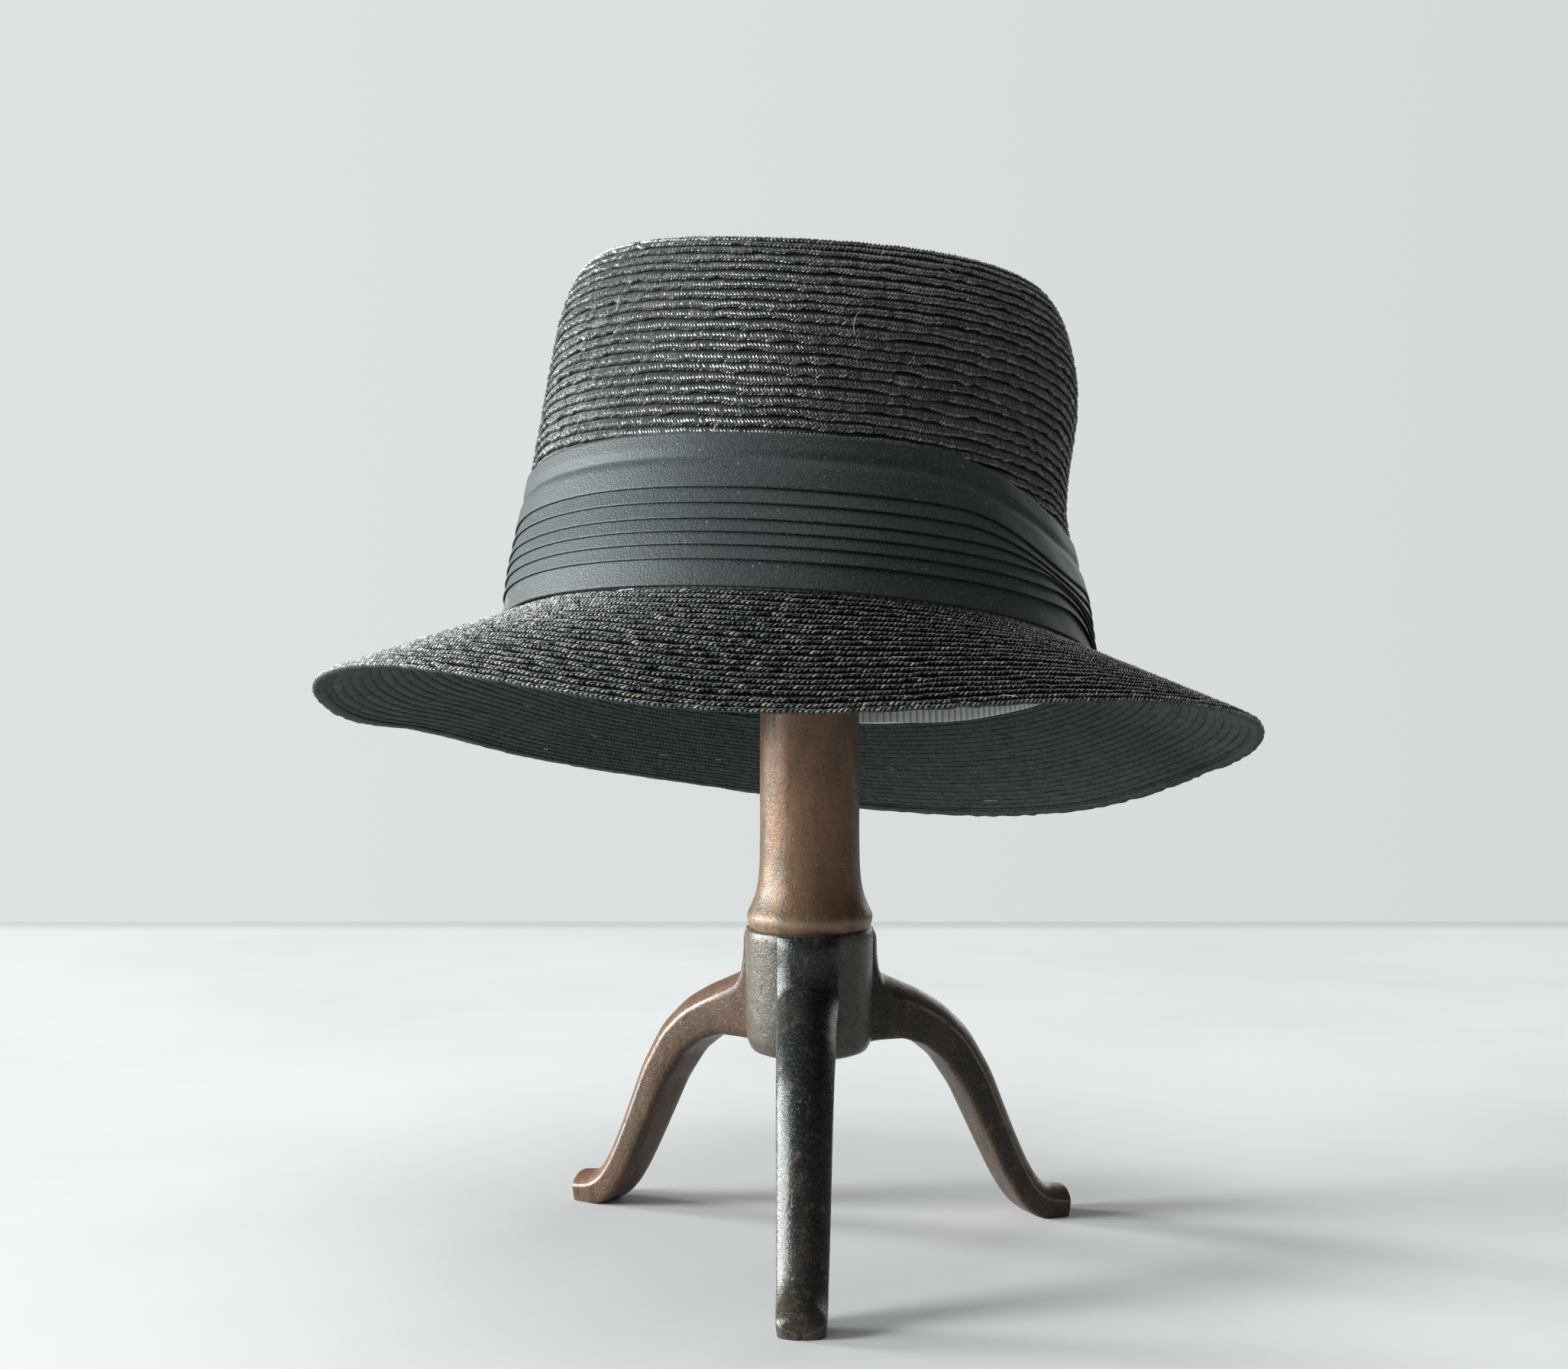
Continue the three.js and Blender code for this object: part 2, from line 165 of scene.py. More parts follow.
def cloud(tree, place, scale, detail=4.0, roughness=0.55):
    """Noise with its features 1 / scale apart along each axis of the place vector."""
    stretched = put(tree, "ShaderNodeMapping", {"Vector": place, "Scale": scale}).outputs[0]
    sockets = {"Vector": stretched, "Scale": 1.0, "Detail": detail, "Roughness": roughness}
    return put(tree, "ShaderNodeTexNoise", sockets).outputs["Fac"]


def group(name, inputs, outputs):
    """Shader node group with named sockets: its tree, the sockets it is given and the sockets it puts out."""
    tree = bpy.data.node_groups.new(name, "ShaderNodeTree")
    for side, sockets in (("INPUT", inputs), ("OUTPUT", outputs)):
        for label, kind in sockets.items():
            tree.interface.new_socket(label, in_out=side, socket_type="NodeSocket" + kind)
    return tree, tree.nodes.new("NodeGroupInput").outputs, tree.nodes.new("NodeGroupOutput").inputs


def finish(name, **plain):
    """New material with one Principled shader, whose plain values are set on its own sockets."""
    material = bpy.data.materials.new(name)
    material.use_nodes = True
    shader = material.node_tree.nodes["Principled BSDF"]
    for socket, value in plain.items():
        shader.inputs[socket.replace("_", " ")].default_value = value
    return material, material.node_tree, shader


patina, given, result = group(
    "patina",
    {"Place": "Vector", "Soot": "Float", "Wear": "Float", "Drip": "Float", "Dull": "Color", "Warm": "Color"},
    {"Colour": "Color", "Roughness": "Float", "Height": "Float"},
)
patch = cloud(patina, given["Place"], (34, 34, 26), 5)
streak = cloud(patina, given["Place"], (240, 240, 60), 4)
mottle = cloud(patina, given["Place"], (330, 330, 260), 5, 0.65)
pore = cloud(patina, given["Place"], (1700, 1700, 1700), 3, 0.6)
brown = tint(patina, fade(patina, patch, 0.36, 0.62), given["Dull"], given["Warm"])
# Olive streaks from the drip mark; on the post this mark is heaviest on the window side and also paints the sheen
# there olive.
dripped = work(patina, "MULTIPLY", fade(patina, streak, 0.45, 0.68), given["Drip"])
brown = tint(patina, dripped, brown, OLIVE_DRIP)
uneven = work(patina, "MULTIPLY_ADD", patch, 0.7, work(patina, "MULTIPLY_ADD", mottle, 0.4, -0.8))
uneven = work(patina, "MULTIPLY_ADD", streak, 0.5, uneven)
# Sooty black from the soot mark; on the drum and the post this mark also carries painted shade, rising on the side
# away from the windows.
sooty = fade(patina, work(patina, "ADD", given["Soot"], uneven), 0.16, 0.90)
dark = tint(patina, sooty, brown, SOOT_BLACK)
fleck = work(patina, "MULTIPLY", fade(patina, mottle, 0.54, 0.70), 0.5)
dark = tint(patina, fleck, dark, RUST_FLECK)
speck = work(patina, "MULTIPLY", fade(patina, pore, 0.52, 0.70), 0.45)
dark = tint(patina, speck, dark, PALE_SPECK)
speck = work(patina, "MULTIPLY", fade(patina, pore, 0.46, 0.30), 0.55)
dark = tint(patina, speck, dark, DARK_SPECK)
# Pale rubbed colour from the wear mark; along the legs' ridges it is also a painted highlight line.
rubbed = work(patina, "MULTIPLY", given["Wear"], fade(patina, mottle, 0.26, 0.46))
patina.links.new(tint(patina, rubbed, dark, RUBBED), result["Colour"])
gloss = work(patina, "MULTIPLY_ADD", mottle, 0.40, -0.02)
gloss = work(patina, "MULTIPLY_ADD", pore, 0.30, gloss)
patina.links.new(work(patina, "MULTIPLY_ADD", sooty, -0.05, gloss), result["Roughness"])
pit = fade(patina, mottle, 0.36, 0.25)
grain = work(patina, "MULTIPLY_ADD", pore, 0.5, mottle)
patina.links.new(work(patina, "MULTIPLY_ADD", pit, -0.8, grain), result["Height"])


def iron(name, dull, warm, lustre):
    """Worn brown-black casting: the patina group over a partly metallic base, with its pores as relief."""
    material, tree, shader = finish(name, Metallic=0.15, Specular_IOR_Level=lustre)
    place = put(tree, "ShaderNodeTexCoord").outputs["Object"]
    marks = {
        label: put(tree, "ShaderNodeAttribute", attribute_name=label.lower()).outputs["Fac"]
        for label in ("Soot", "Wear", "Drip")
    }
    coat = put(tree, "ShaderNodeGroup", node_tree=patina)
    coat.inputs["Dull"].default_value = dull
    coat.inputs["Warm"].default_value = warm
    tree.links.new(place, coat.inputs["Place"])
    for label, socket in marks.items():
        tree.links.new(socket, coat.inputs[label])
    tree.links.new(coat.outputs["Colour"], shader.inputs["Base Color"])
    tree.links.new(coat.outputs["Roughness"], shader.inputs["Roughness"])
    relief = put(tree, "ShaderNodeBump", {"Height": coat.outputs["Height"], "Strength": 0.7, "Distance": 0.0003})
    tree.links.new(relief.outputs[0], shader.inputs["Normal"])
    return material


base_iron = iron("base_iron", dull=(0.080, 0.052, 0.037, 1), warm=(0.138, 0.072, 0.045, 1), lustre=0.32)
rear_iron = iron("rear_leg_iron", dull=(0.088, 0.055, 0.039, 1), warm=(0.152, 0.077, 0.048, 1), lustre=0.15)
drum = eased(DRUM, 0.6, 2.4)
round_drum = np.linspace(-np.pi, np.pi, DRUM_POINTS, endpoint=False)
drum_radius, drum_level = drum[:, :1] + 0 * round_drum, drum[:, 1:] + 0 * round_drum
rings = np.stack([drum_radius * np.cos(round_drum), drum_radius * np.sin(round_drum), drum_level], -1)
base_drum = skin(
    "base_drum", rings * MM + STAND_AXIS, drum[:, 1], np.linspace(0, DRUM_GIRTH, DRUM_POINTS + 1),
    # The drum's soot rises towards its right front, away from the windows: partly real soot, partly painted shade.
    soot=0.84 + 0.22 * np.cos(round_drum + 0.5), wear=0.1, drip=1.0,
)
base_pieces = [base_drum]
bar = eased(LEG, 0.5, 10.0)
course = np.gradient(bar[:, :2], axis=0)
course /= np.linalg.norm(course, axis=1, keepdims=True)
half_deep = course[:, ::-1] * (-1, 1) * bar[:, 3:] / 2
bar = np.column_stack([bar[:, :2] + half_deep, bar[:, :2] - half_deep, bar[:, 2], ARCH_SHARE * bar[:, 2]])
leg = eased(np.vstack([RIB, bar[bar[:, 0] > RIB_END]]), 0.1, 3.6)
walk = np.append(0, np.cumsum(np.linalg.norm(np.diff(leg[:, :2], axis=0), axis=1)))
turn = np.linspace(ARCH, -ARCH, ARCH_POINTS)
across = np.concatenate([np.sin(turn) / np.sin(ARCH), FLANK[:, 0], [0.0], -FLANK[::-1, 0]])
arched = np.concatenate([(np.cos(turn) - np.cos(ARCH)) / (1 - np.cos(ARCH)), np.zeros(2 * len(FLANK) + 1)])
share = np.concatenate([np.ones(ARCH_POINTS), FLANK[:, 1], [0.0], FLANK[::-1, 1]])
topside = smooth(arched, 0.1, 0.3)
ridge = (np.abs(across) > 0.999) * (share > 0.95)
for name, (azimuth, reach, nose, brow, top_soot, side_soot) in LEGS.items():
    end = walk[-1]
    places = np.concatenate([np.arange(0, FINE_RUN, FINE_STEP), np.arange(FINE_RUN, end - nose, LEG_STEP)])
    places = np.append(places, end - nose * (1 - np.sin(np.linspace(0, np.pi / 2, TOE_POINTS))))
    top_out, top_up, low_out, low_up, width, arch = (np.interp(places, walk, column)[:, None] for column in leg.T)
    span = np.hypot(top_out - low_out, top_up - low_up)
    in_nose = np.clip((places[:, None] - end + nose) / nose, 0, 1)
    in_brow = np.clip((places[:, None] - end + brow) / brow, 0, 1)
    narrow = np.sqrt(1 - TOE_NARROWED * in_nose**4)
    pared = BROW_CUT * brow * (1 - np.sqrt(1 - in_brow**2))
    part = (1 - arch / span * (1 - arched)) * share * (1 - pared / span)
    away = (low_out + (top_out - low_out) * part) * reach
    up = np.maximum(low_up + (top_up - low_up) * part, 0)
    side = across * width / 2 * narrow
    east, north = np.cos(np.radians(azimuth)), np.sin(np.radians(azimuth))
    rings = np.stack([away * east - side * north, away * north + side * east, up], -1)
    # Pale rubbed colour along both ridges of each leg: partly real wear, partly a painted highlight line.
    ridge_wear = 0.6 * ridge * smooth(top_out, 24, 40)
    sole_wear = 0.3 * smooth(top_out, 84, 89) * (up < 1.5)
    foot_cleaner = 0.3 * smooth(top_out, 52, 82) * top_soot
    base_pieces.append(skin(
        "base_leg_" + name, rings * MM + STAND_AXIS, places, np.arange(len(across) + 1),
        soot=side_soot + (top_soot - side_soot) * topside - foot_cleaner,
        wear=(ridge_wear + sole_wear) * (1 - 0.7 * top_soot), drip=0.4 * (1 - topside),
    ))
for piece, coat in zip(base_pieces, (base_iron, base_iron, rear_iron, rear_iron)):
    piece.data.materials.append(coat)
    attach(piece, "root")
    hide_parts("stand_base")

# Post of the stand: a turned iron upright, slightly tapered, that flares to a lipped skirt on the drum's rim.
# Its domed top is inside the crown and carries the hat.
POST = [
    (17.4, 94.8), (18.2, 95.4), (18.5, 97.0), (18.9, 98.4), (18.6, 99.8), (17.4, 102.2), (16.2, 105.2), (15.4, 109),
    (15.0, 114), (14.8, 124), (14.75, 158), (14.1, 250.4), (13.2, 256.8), (10.6, 262.0), (6.8, 265.6), (3.2, 267.2),
    (0.3, 267.7),
]
POST_POINTS, POST_GIRTH, LIP_HEIGHT, LIP_HALF = 144, 95, 98.4, 0.9
post_iron = iron("post_iron", dull=(0.125, 0.078, 0.050, 1), warm=(0.215, 0.113, 0.067, 1), lustre=0.18)
profile = eased(POST, 0.9, 2.6)
post_level = profile[:, 1:]
round_post = np.linspace(0, 2 * np.pi, POST_POINTS, endpoint=False)
lumps = 1 + 0.004 * np.sin(3 * round_post + 0.02 * post_level) + 0.003 * np.sin(0.09 * post_level + 1)
post_radius = profile[:, :1] * lumps
rings = np.stack(
    [post_radius * np.cos(round_post), post_radius * np.sin(round_post), post_level + 0 * post_radius], -1
)
skirt_lip = np.exp(-(((post_level - LIP_HEIGHT) / LIP_HALF) ** 2))
stand_upright = skin(
    "stand_upright", rings * MM + STAND_AXIS, profile[:, 1], np.linspace(0, POST_GIRTH, POST_POINTS + 1),
    # The post's soot rises on its right, away from the windows: partly real soot, partly painted shade.
    soot=0.08 + 0.34 * smooth(np.cos(round_post + 0.25), 0.35, 0.95), wear=0.25 * skirt_lip,
    # The post's olive drips are heaviest on its left, window side: partly real drips, partly a painted olive sheen.
    drip=0.3 + 0.7 * smooth(-np.cos(round_post), 0.1, 0.6),
)
stand_upright.data.materials.append(post_iron)
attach(stand_upright, "root")
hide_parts("stand_post")

# Side of the crown: black straw braid sewn in a spiral, each row's lower edge lapped over the row below.
# A braid is a field of slanted strands with a twisted cord along its lower edge, lacquered and a little wavy.
HAT_TILT, HAT_LEAN, HAT_TURN = np.radians([12.65, 3.9, -5.9])
HAT_CENTRE = STAND_AXIS + np.array([-3.9, -4.0, 176.2]) * MM
LENGTH_EXTRA, RIM_DROP, RIM_LEAN, RIM_HEIGHT, TIP_HALF = 17.4, 12.0, 1.2, 108.4, 55.4
FRONT_DROP, BACK_DROP = 3.8, 1.5
CROWN = [
    (0.0, 94.0, 0.1), (55.4, 94.0, 0.1), (59.2, 95.0, 0.1), (61.4, 98.4, 0.1), (62.6, 104.6, 0.1),
    (64.6, 107.8, 0.1), (67.8, 108.4, 0.1), (71.4, 106.4, 0.1), (74.0, 102.4, 0.1), (75.8, 97.0, 0.2),
    (77.2, 91.0, 0.3), (78.2, 84.0, 0.5), (78.6, 76.0, 0.2), (78.6, 68.0, -0.5), (78.5, 60.0, -1.3),
    (78.7, 52.0, -1.9), (79.0, 44.0, -2.0), (81.2, 30.0, -1.2), (83.9, 16.0, -0.2), (85.6, 0.0, 0.7),
]
TIP_ROWS, UPPER_ROWS, MIDDLE_ROWS, OPEN_ROWS, CROWN_ROWS = 29, 37, 44, 51, 60
BRAID_WIDTH, BRAID_LIFT, BRAID_THICKNESS = 1.37, 1.05, 0.95
STRAND, STRAND_JITTER, STRAND_HEIGHTS, COVERED_STRAND = 0.95, 0.4, (0.5, 1.4), 5.0
SWAY, SWAY_MOST = ((0.065, 11), (0.085, 3.3)), 0.19
PUCKER, PUCKER_MOST = ((0.045, 2.9), (0.05, 14)), 0.12
TONE = ((0.16, 42), (0.14, 7))
TRAIL_STEPS, NEAR_TURN, NEAR_ROW = 240, 0.004, 0.06
OUTER_FACE, GROOVE_AT, GROOVE_HALF, CORD_FROM, CORD_TO = 1.03, 0.725, 0.028, 0.74, 0.80
STRAW_BLACK, STRAW_DARK, GAP_BLACK = (0.003, 0.004, 0.004, 1), (0.008, 0.010, 0.010, 1), (0.002, 0.002, 0.002, 1)
LINING_DARK, LINING_PALE = (0.018, 0.025, 0.025, 1), (0.075, 0.090, 0.087, 1)
ACROSS = np.array([0.03, 0.30, 0.50, 0.69, 0.745, 0.82, 0.91, 1.0, 0.90, 0.05])
FACE = np.array([0, 0.10, 0.16, 0.02, -0.10, 0.26, 0.32, -0.10, -0.95, -0.32])
RELIEF = np.array([0, 0.12, 0.14, 0.12, 0.04, 0.17, 0.22, 0.17, 0.05, 0.05])
SLANT = np.array([0.7, 0.55, -0.25, 0.45, 0.45, 0.30, -0.15, -0.60, -0.6, 0.7])
LAY = np.array([0.03, 0.30, 0.50, 0.69, 0.745, 0.82, 0.91, 1.0, 1.10, 1.95, 2.03])
cosine, sine = np.cos([HAT_TILT, HAT_LEAN, HAT_TURN]), np.sin([HAT_TILT, HAT_LEAN, HAT_TURN])
HAT_FRAME = (
    np.array([[cosine[1], 0, sine[1]], [0, 1, 0], [-sine[1], 0, cosine[1]]])
    @ np.array([[1, 0, 0], [0, cosine[0], sine[0]], [0, -sine[0], cosine[0]]])
    @ np.array([[cosine[2], -sine[2], 0], [sine[2], cosine[2], 0], [0, 0, 1]])
)
crown_profile = eased(CROWN, 0.5, 4.5)
crown_path = np.append(0, np.cumsum(np.linalg.norm(np.diff(crown_profile[:, :2], axis=0), axis=1)))
CROWN_STEP = crown_path[-1] / CROWN_ROWS


def on_head(points):
    """Points of the hat in millimetres about its head opening, tilted and set down on the post, in metres."""
    return points * MM @ HAT_FRAME.T + HAT_CENTRE


def oval(angle, half, lean, height):
    """Point of the crown's oval: half the width across, longer from front to back by a fixed amount that closes up
    towards the tip's middle, let down at front and back by more with height, and slanted to the wearer's left."""
    angle, half, lean, height = np.broadcast_arrays(angle, half, lean, height)
    spread = np.minimum(1, half / TIP_HALF)
    rise = np.maximum(0, height) / RIM_HEIGHT
    opening = BACK_DROP + (FRONT_DROP - BACK_DROP) * (1 - np.sin(angle)) / 2
    drop = (opening + (RIM_DROP - opening) * rise) * spread**2 * np.sin(angle) ** 2
    slant = RIM_LEAN * rise * spread * np.cos(angle)
    return np.stack(
        [lean + half * np.cos(angle), (half + LENGTH_EXTRA * spread) * np.sin(angle), height - drop - slant], -1
    )


def crown_sheet(angle, row):
    """Outer face of the crown at an angle round it and a row of braid counted from the tip's middle."""
    path = np.clip(row * CROWN_STEP, 0.2, crown_path[-1])
    half, height, lean = (np.interp(path, crown_path, column) for column in crown_profile.T)
    return oval(angle, half, lean, height)


def wander(distance, spacing, seed):
    """Smooth random walk about 0: seeded normal numbers a spacing apart, joined by smooth steps."""
    knots = np.random.default_rng(seed).normal(size=int(distance.max() / spacing) + 3)
    place = distance / spacing
    index = place.astype(int)
    share = smooth(place - index, 0, 1)
    return knots[index] * (1 - share) + knots[index + 1] * share


def waver(distance, waves, seed):
    """Sum of random walks, each with its own size and spacing and the next seed."""
    return sum(size * wander(distance, spacing, seed + n) for n, (size, spacing) in enumerate(waves))


def braid(name, sheet, first, last, strand, seed, level_end=False):
    """Strip of braid carried along a spiral on a sheet: its exposed edge moves out one row in each turn, from the
    back of the hat round to the back. Its section is a bulged field, a groove and a round cord, raised along the
    sheet's normal. Every second section stands higher and all of them run zigzag, so that each pair is one strand of
    the plait. A level end stays on the last row for one more turn and sinks under the row before it."""
    rounds = last - first + level_end
    turns = np.linspace(0, rounds, int(TRAIL_STEPS * rounds))
    trail = sheet(np.pi / 2 + 2 * np.pi * turns, np.minimum(first + turns, last))
    run = np.append(0, np.cumsum(np.linalg.norm(np.diff(trail, axis=0), axis=1)))
    count = int(run[-1] / strand)
    chance = np.random.default_rng(seed)
    stations = (np.arange(2 * count) + STRAND_JITTER * chance.uniform(-1, 1, 2 * count)) * strand / 2
    distance = np.clip(stations, 0, run[-1])
    slanted = np.clip(distance[:, None] + SLANT * strand, 0, run[-1])
    turns = np.interp(slanted, run, turns)
    angle = np.pi / 2 + 2 * np.pi * turns
    sway = np.clip(waver(distance, SWAY, seed), -SWAY_MOST, SWAY_MOST)
    pucker = np.clip(waver(distance, PUCKER, seed + 2), -PUCKER_MOST, PUCKER_MOST)
    row = np.minimum(first + turns, last) + (ACROSS - 1) * BRAID_WIDTH + ACROSS * sway[:, None]
    if level_end:
        row = np.minimum(row, last)
    round_way = sheet(angle + NEAR_TURN, row) - sheet(angle - NEAR_TURN, row)
    out_way = sheet(angle, row + NEAR_ROW) - sheet(angle, row - NEAR_ROW)
    normal = np.cross(out_way, round_way)
    normal /= np.linalg.norm(normal, axis=-1, keepdims=True) + 1e-12
    face = np.where(FACE < -0.3, FACE * BRAID_THICKNESS, FACE)
    height = np.tile([[1.0], [-1.0]], (count, 1)) * chance.uniform(*STRAND_HEIGHTS, (2 * count, len(ACROSS)))
    raised = BRAID_LIFT * (ACROSS - 1) + face + ACROSS * pucker[:, None] + RELIEF * height
    sink = BRAID_THICKNESS * np.clip(turns - (last - first), 0, 1)
    points = sheet(angle, row) + normal * (raised - sink)[..., None]
    tone = np.clip(0.5 + waver(distance, TONE, seed + 4), 0, 1)
    glint = np.repeat(chance.uniform(0, 1, count), 2)
    peak = np.tile([1.0, 0.0], count)
    return skin(
        name, on_head(points), distance, LAY, crisp=True,
        tone=tone[:, None], glint=glint[:, None], peak=peak[:, None],
        rim=smooth(row - last, -1.15, -0.55) * level_end,
    )


plait, given, result = group(
    "plait",
    {
        "Lay": "Vector", "Place": "Vector", "Glint": "Float", "Peak": "Float",
        "Lap": "Float", "Field": "Float", "Even": "Float",
    },
    {"Height": "Float", "Stroke": "Float", "Pale": "Float", "Gap": "Float", "Inside": "Float", "Grain": "Float"},
)
lay = put(plait, "ShaderNodeSeparateXYZ", {0: given["Lay"]}).outputs
fibres = cloud(plait, given["Place"], (1500, 1500, 1500), 3, 0.6)
outside = work(plait, "LESS_THAN", lay[1], OUTER_FACE)
# Painted shade: the groove and the part of each row under the row above are marked for near-black.
groove = work(plait, "MULTIPLY", work(plait, "COMPARE", lay[1], GROOVE_AT, GROOVE_HALF), 0.8)
tucked = work(plait, "MAXIMUM", groove, fade(plait, work(plait, "SUBTRACT", lay[1], given["Lap"]), 0.13, 0.0))
plait.links.new(work(plait, "MULTIPLY", tucked, outside), result["Gap"])
# Painted highlights: a grey stroke along the back of each raised strand, stronger on the cord than beside it,
# varying from strand to strand and broken by the fibres.
patchy = work(plait, "SUBTRACT", 1.0, given["Even"])
bright = work(plait, "MULTIPLY_ADD", work(plait, "POWER", given["Glint"], 1.5), patchy, given["Even"])
bright = work(plait, "MULTIPLY", bright, fade(plait, fibres, 0.36, 0.54))
cord = work(plait, "MULTIPLY", fade(plait, lay[1], CORD_FROM, CORD_TO), outside)
lit = put(plait, "ShaderNodeMix", {0: cord, 2: given["Field"], 3: 1.0}).outputs[0]
bright = work(plait, "MULTIPLY", bright, lit)
stroke = work(plait, "MULTIPLY", bright, fade(plait, given["Peak"], 0.30, 0.78))
plait.links.new(work(plait, "MULTIPLY", stroke, outside), result["Stroke"])
# A few of the painted strand highlights, more of them on the cord, are tinted brown.
likely = work(plait, "MULTIPLY_ADD", cord, 0.22, given["Glint"])
chosen = work(plait, "MULTIPLY", fade(plait, likely, 0.84, 0.97), stroke)
plait.links.new(work(plait, "MULTIPLY", chosen, outside), result["Pale"])
plait.links.new(fibres, result["Height"])
grain = work(plait, "MULTIPLY", fade(plait, fibres, 0.38, 0.60), fade(plait, given["Peak"], 0.1, 0.9))
plait.links.new(work(plait, "MULTIPLY_ADD", given["Glint"], 0.3, grain), result["Grain"])
plait.links.new(work(plait, "SUBTRACT", 1.0, outside), result["Inside"])


def straw(name, grey, brown, lap, field, even, lacquer):
    """Black lacquered straw: near-black painted shade under each row's lap and in the grooves, painted grey
    highlights along the strands' backs, brown on a few of those painted highlights and worn brown along a brim's
    edge, with fine fibres as relief. The lap value sets how far the painted shade under the row above reaches, the
    field value the strength of the painted highlights beside the cord, and the even value how little one strand's
    painted highlight differs from the next."""
    material, tree, shader = finish(name, Specular_IOR_Level=lacquer)
    coordinates = put(tree, "ShaderNodeTexCoord").outputs
    weave = put(tree, "ShaderNodeGroup", node_tree=plait)
    weave.inputs["Lap"].default_value = lap
    weave.inputs["Field"].default_value = field
    weave.inputs["Even"].default_value = even
    tone, glint, peak, rim = (
        put(tree, "ShaderNodeAttribute", attribute_name=mark).outputs["Fac"]
        for mark in ("tone", "glint", "peak", "rim")
    )
    given = {"Lay": coordinates["UV"], "Place": coordinates["Object"], "Glint": glint, "Peak": peak}
    for label, socket in given.items():
        tree.links.new(socket, weave.inputs[label])
    colour = tint(tree, tone, STRAW_BLACK, STRAW_DARK)
    lining = tint(tree, weave.outputs["Grain"], LINING_DARK, LINING_PALE)
    colour = tint(tree, weave.outputs["Inside"], colour, lining)
    # Painted highlights: grey along the strands' backs.
    colour = tint(tree, weave.outputs["Stroke"], colour, grey)
    share = work(tree, "MULTIPLY", weave.outputs["Pale"], work(tree, "MULTIPLY_ADD", rim, 0.3, 0.7))
    colour = tint(tree, share, colour, brown)
    # Painted shade: near-black under each row's lap and in the groove.
    colour = tint(tree, work(tree, "MULTIPLY", weave.outputs["Gap"], 0.92), colour, GAP_BLACK)
    tree.links.new(colour, shader.inputs["Base Color"])
    shine = work(tree, "MULTIPLY_ADD", tone, 0.16, 0.24)
    shine = work(tree, "MULTIPLY_ADD", weave.outputs["Inside"], 0.30, shine)
    tree.links.new(work(tree, "MULTIPLY_ADD", weave.outputs["Gap"], 0.35, shine), shader.inputs["Roughness"])
    relief = put(tree, "ShaderNodeBump", {"Height": weave.outputs["Height"], "Strength": 0.5, "Distance": 0.00025})
    tree.links.new(relief.outputs[0], shader.inputs["Normal"])
    return material


crown_straw = straw(
    "crown_straw", grey=(0.28, 0.307, 0.30, 1), brown=(0.42, 0.36, 0.29, 1),
    lap=0.34, field=0.60, even=0.30, lacquer=0.85,
)
side_pieces = [
    braid("crown_side_upper_rows", crown_sheet, TIP_ROWS, UPPER_ROWS, STRAND, seed=11),
    braid("crown_side_middle_rows", crown_sheet, UPPER_ROWS, MIDDLE_ROWS, STRAND, seed=12),
    braid("crown_side_lower_rows", crown_sheet, MIDDLE_ROWS, OPEN_ROWS, STRAND, seed=13),
    braid("crown_side_covered_rows", crown_sheet, OPEN_ROWS, CROWN_ROWS, COVERED_STRAND, seed=21),
]
for piece in side_pieces:
    piece.data.materials.append(crown_straw)
    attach(piece, "root")
    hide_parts("crown_side")

# Tip of the crown: the same braid wound out from a small start in the middle, flat and sunk below a rolled rim.
# It goes over the rim and is sewn on to the first row of the side.
FLAT_ROWS, FLAT_STRAND, RIM_STRAND = 18, 1.5, 1.12
tip_pieces = [
    braid("crown_tip_flat_rows", crown_sheet, 0, FLAT_ROWS, FLAT_STRAND, seed=31),
    braid("crown_tip_rim_rows", crown_sheet, FLAT_ROWS, TIP_ROWS, RIM_STRAND, seed=32),
]
for piece in tip_pieces:
    piece.data.materials.append(crown_straw)
    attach(piece, "root")
    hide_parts("crown_tip")

# Brim: finer rows of the same braid, sewn outwards from the head line, sloping down all round and most in front.
# The last row runs level with the edge and its end is tucked under; the straw is worn brown there.
HEAD_HALF, HEAD_LEAN, HEAD_GAP = 85.6, 0.7, 0.3
FIRST_ROWS, SECOND_ROWS, THIRD_ROWS, BRIM_ROWS, BRIM_STRAND = 6, 11, 16, 21, 1.25
BRIM_WIDTH, BRIM_FRONT_EXTRA, BRIM_END_EXTRA, BRIM_RIGHT_EXTRA = 55.6, 8.3, 3.6, 2.2
BRIM_SLOPE, FRONT_DIP, FRONT_DIP_AT, FRONT_DIP_NARROWNESS = 24.9, 10.8, -92, 8
BRIM_WAVES = [(2, 2.4, 35), (3, 2.7, 56)]
BRIM_LIFTS = [(157, 4.5, 17), (23, 3.5, 17)]


def turn_from(place, angle):
    """Degrees from a place on the hat's round to an angle in radians, from -180 to 180."""
    return (np.degrees(angle) - place + 180) % 360 - 180


